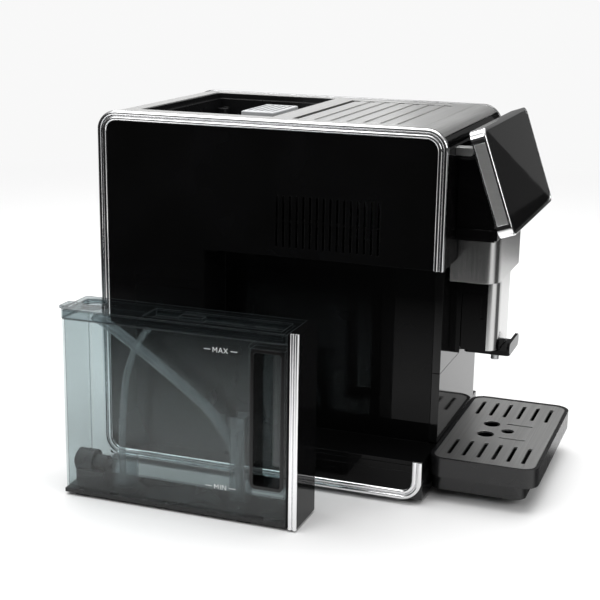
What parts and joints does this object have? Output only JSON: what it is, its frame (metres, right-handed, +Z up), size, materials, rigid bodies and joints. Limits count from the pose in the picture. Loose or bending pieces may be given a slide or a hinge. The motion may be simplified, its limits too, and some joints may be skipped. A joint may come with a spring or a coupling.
{
  "type": "coffee machine",
  "caption": "Bean-to-cup coffee machine with black sides, chrome trims, tilting display, height-adjustable spout, drip tray and a lift-out water tank standing beside it.",
  "frame": {"origin": "bottom centre of the box around the machine, its pulled-out tray line and the tank standing beside it, on the table", "axes": "+Z up, front towards -Y, water tank and tank bay towards -X"},
  "size_m": [0.34, 0.4494, 0.3659],
  "materials": {
    "gloss_black": "high gloss",
    "satin_black": "satin",
    "chrome": "polished",
    "brushed_steel": "brushed",
    "rubber": "matt",
    "zinc_steel": "zinc plated",
    "grey_plastic": "satin",
    "white_plastic": "satin",
    "motor_steel": "satin",
    "cast_alloy": "cast",
    "board_green": "solder mask",
    "burr_steel": "ground",
    "display_glass": "high gloss",
    "white_print": "printed",
    "smoked_clear": "clear smoked plastic",
    "smoked_lid": "dark smoked plastic",
    "clear_plastic": "clear plastic",
    "clear_hose": "milky clear hose"
  },
  "bodies": {
    "machine": {"left_trim": "chrome", "right_trim": "chrome", "left_side_panel": "gloss_black", "right_side_panel": "gloss_black", "base_pan": "satin_black", "machine_feet": "rubber", "bay_liner": "gloss_black", "tank_socket": "satin_black", "rear_panel": "satin_black", "rear_screws": "zinc_steel", "mains_inlet": "satin_black", "switch_frame": "satin_black", "top_panel": "brushed_steel", "front_hood": "brushed_steel", "top_moulding": "satin_black", "cup_warmer_plate": "brushed_steel", "grinder_guard": "grey_plastic", "front_shell": "gloss_black", "head_housing": "gloss_black", "head_band": "brushed_steel", "display_arms": "brushed_steel", "front_panel": "gloss_black", "chassis_frame": "zinc_steel", "brew_unit": "grey_plastic", "brew_motor": "motor_steel", "grinder_body": "satin_black", "grinder_motor": "motor_steel", "boiler": "cast_alloy", "pump": "motor_steel", "flow_meter": "white_plastic", "power_board": "board_green", "control_board": "board_green", "water_tubes": "clear_hose"},
    "display": {"display_frame": "chrome", "display_inserts": "brushed_steel", "display_glass": "display_glass", "display_back": "satin_black"},
    "spout": {"spout_carriage": "gloss_black", "spout_cover": "brushed_steel", "spout_lip": "gloss_black", "spout_nozzles": "satin_black"},
    "grounds_drawer": {"drawer_front": "gloss_black", "grounds_bin": "satin_black"},
    "tray": {"drip_tray": "satin_black"},
    "grid": {"drip_grid": "brushed_steel"},
    "float": {"tray_float": "grey_plastic"},
    "switch": {"rocker_switch": "satin_black"},
    "piston": {"brew_piston": "white_plastic"},
    "burr_cone": {"burr": "burr_steel"},
    "grind_dial": {"grind_knob": "grey_plastic"},
    "tank": {"tank_base": "satin_black", "tank_front": "gloss_black", "tank_trim": "chrome", "tank_shell": "smoked_clear", "tank_grip": "satin_black", "tank_valve": "satin_black", "clear_fittings": "clear_plastic", "tank_hoses": "clear_hose", "level_marks": "white_print"},
    "tank_cover": {"tank_lid": "smoked_lid"}
  },
  "joints": [
    {"name": "display_tilt", "type": "hinge", "parent": "machine", "child": "display", "pos_m": [0.05, -0.14225, 0.3417], "axis": [-1, 0, 0], "range_deg": [0, 35]},
    {"name": "spout_slide", "type": "slide", "parent": "machine", "child": "spout", "axis": [0, 0, 1], "range_m": [0, 0.045]},
    {"name": "drawer_slide", "type": "slide", "parent": "machine", "child": "grounds_drawer", "axis": [0, -1, 0], "range_m": [0, 0.15]},
    {"name": "tray_slide", "type": "slide", "parent": "machine", "child": "tray", "axis": [0, -1, 0], "range_m": [0, 0.165]},
    {"name": "grid_lift", "type": "slide", "parent": "tray", "child": "grid", "axis": [0, 0, 1], "range_m": [0, 0.03]},
    {"name": "float_rise", "type": "slide", "parent": "tray", "child": "float", "axis": [0, 0, 1], "range_m": [0, 0.006]},
    {"name": "switch_rock", "type": "hinge", "parent": "machine", "child": "switch", "pos_m": [0.082, 0.21625, 0.062], "axis": [0, 0, 1], "range_deg": [-7, 7]},
    {"name": "piston_slide", "type": "slide", "parent": "machine", "child": "piston", "axis": [0, 0, 1], "range_m": [-0.03, 0.015]},
    {"name": "burr_spin", "type": "hinge", "parent": "machine", "child": "burr_cone", "pos_m": [0.05, 0.09425, 0.29], "axis": [0, 0, 1], "continuous": true},
    {"name": "grind_turn", "type": "hinge", "parent": "machine", "child": "grind_dial", "pos_m": [0.133, 0.17625, 0.34], "axis": [0, 0, 1], "range_deg": [-120, 120]},
    {"name": "tank_lift", "type": "slide", "parent": "machine", "child": "tank", "axis": [0, 0, 1], "range_m": [0, 0.15]},
    {"name": "lid_lift", "type": "slide", "parent": "tank", "child": "tank_cover", "axis": [0, 0, 1], "range_m": [0, 0.03]}
  ]
}
